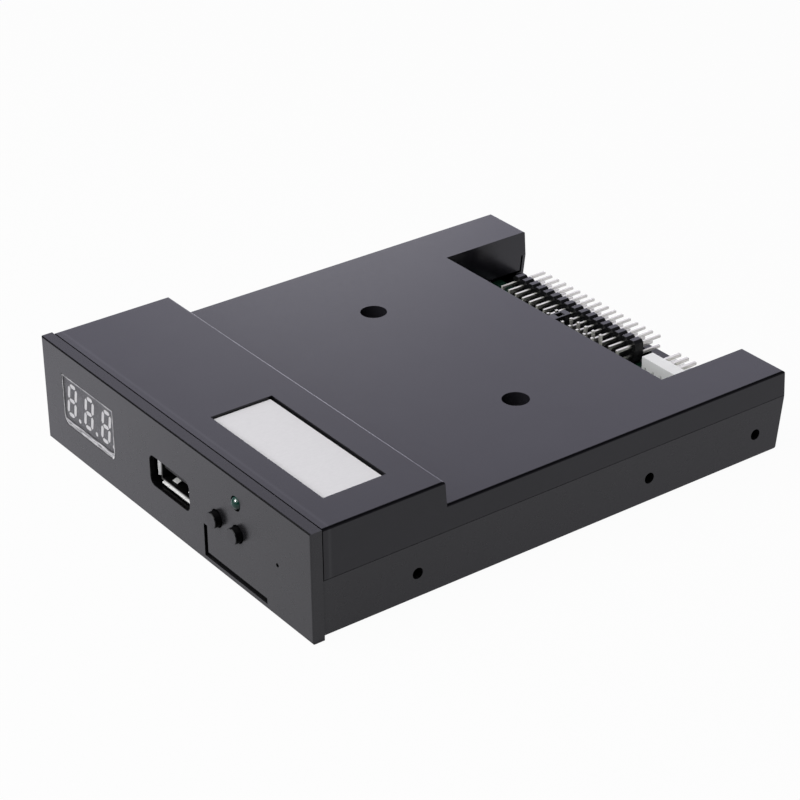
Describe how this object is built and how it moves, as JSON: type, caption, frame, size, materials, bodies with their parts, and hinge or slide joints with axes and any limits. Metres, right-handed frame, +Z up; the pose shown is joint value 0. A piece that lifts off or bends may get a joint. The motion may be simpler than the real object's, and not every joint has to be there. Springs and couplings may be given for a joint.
{
  "type": "floppy drive emulator",
  "caption": "Flat drive-bay box with a stepped top: display, USB socket, push buttons and an indicator in the bezel, pin connectors in an open rear bay.",
  "frame": {"origin": "middle of the footprint, at the height of the bezel's lower edge", "axes": "+X to the right seen from the front, +Y from the bezel to the rear, +Z up"},
  "size_m": [0.1016, 0.1248, 0.0248],
  "materials": {
    "case_plastic": "matte charcoal grey",
    "label_paper": "matt white sticker",
    "screw_steel": "zinc plated steel",
    "board_green": "green solder mask",
    "display_face": "grey face",
    "display_light": "milky, unlit",
    "clear_film": "thin clear film",
    "tin": "tin plated",
    "socket_steel": "nickel plated sheet",
    "white_plastic": "white",
    "gold": "gold plated",
    "button_plastic": "charcoal grey",
    "black_plastic": "black",
    "wire_red": "red sleeve",
    "lens_green": "tinted clear",
    "can_aluminium": "bare can",
    "resistor_ceramic": "dark glaze"
  },
  "bodies": {
    "case": {"lower_shell": "case_plastic", "top_cover": "case_plastic", "label": "label_paper", "case_screws": "screw_steel", "main_board": "board_green", "board_screws": "screw_steel", "display_body": "display_face", "display_segments": "display_light", "display_film": "clear_film", "display_pins": "tin", "display_board": "board_green", "display_driver": "black_plastic", "display_screws": "screw_steel", "display_wires": "wire_red", "usb_shell": "socket_steel", "usb_insulator": "black_plastic", "usb_contacts": "gold", "left_dome": "tin", "right_dome": "tin", "switch_bases": "black_plastic", "switch_frames": "tin", "switch_pins": "tin", "led_lens": "lens_green", "led_leads": "tin", "floppy_header_housing": "black_plastic", "floppy_header_pins": "tin", "jumper_base": "black_plastic", "jumper_pins": "tin", "power_block": "white_plastic", "power_pins": "tin", "controller_chip": "black_plastic", "controller_legs": "tin", "crystal_can": "screw_steel", "voltage_regulator": "black_plastic", "regulator_legs": "tin", "capacitor_bases": "black_plastic", "capacitor_cans": "can_aluminium", "chip_resistors": "resistor_ceramic"},
    "left_button": {"left_button": "button_plastic"},
    "right_button": {"right_button": "button_plastic"},
    "jumper_cap": {"jumper_cap": "black_plastic", "jumper_clip": "gold"}
  },
  "joints": [
    {"name": "left_button_press", "type": "slide", "parent": "case", "child": "left_button", "axis": [0, 1, 0], "range_m": [0, 0.00025], "stiffness_N_per_m": 6000, "deforming": ["left_dome"]},
    {"name": "right_button_press", "type": "slide", "parent": "case", "child": "right_button", "axis": [0, 1, 0], "range_m": [0, 0.00025], "stiffness_N_per_m": 6000, "deforming": ["right_dome"]},
    {"name": "jumper_cap_pull", "type": "slide", "parent": "case", "child": "jumper_cap", "axis": [0, 0, 1], "range_m": [0, 0.0065]}
  ]
}
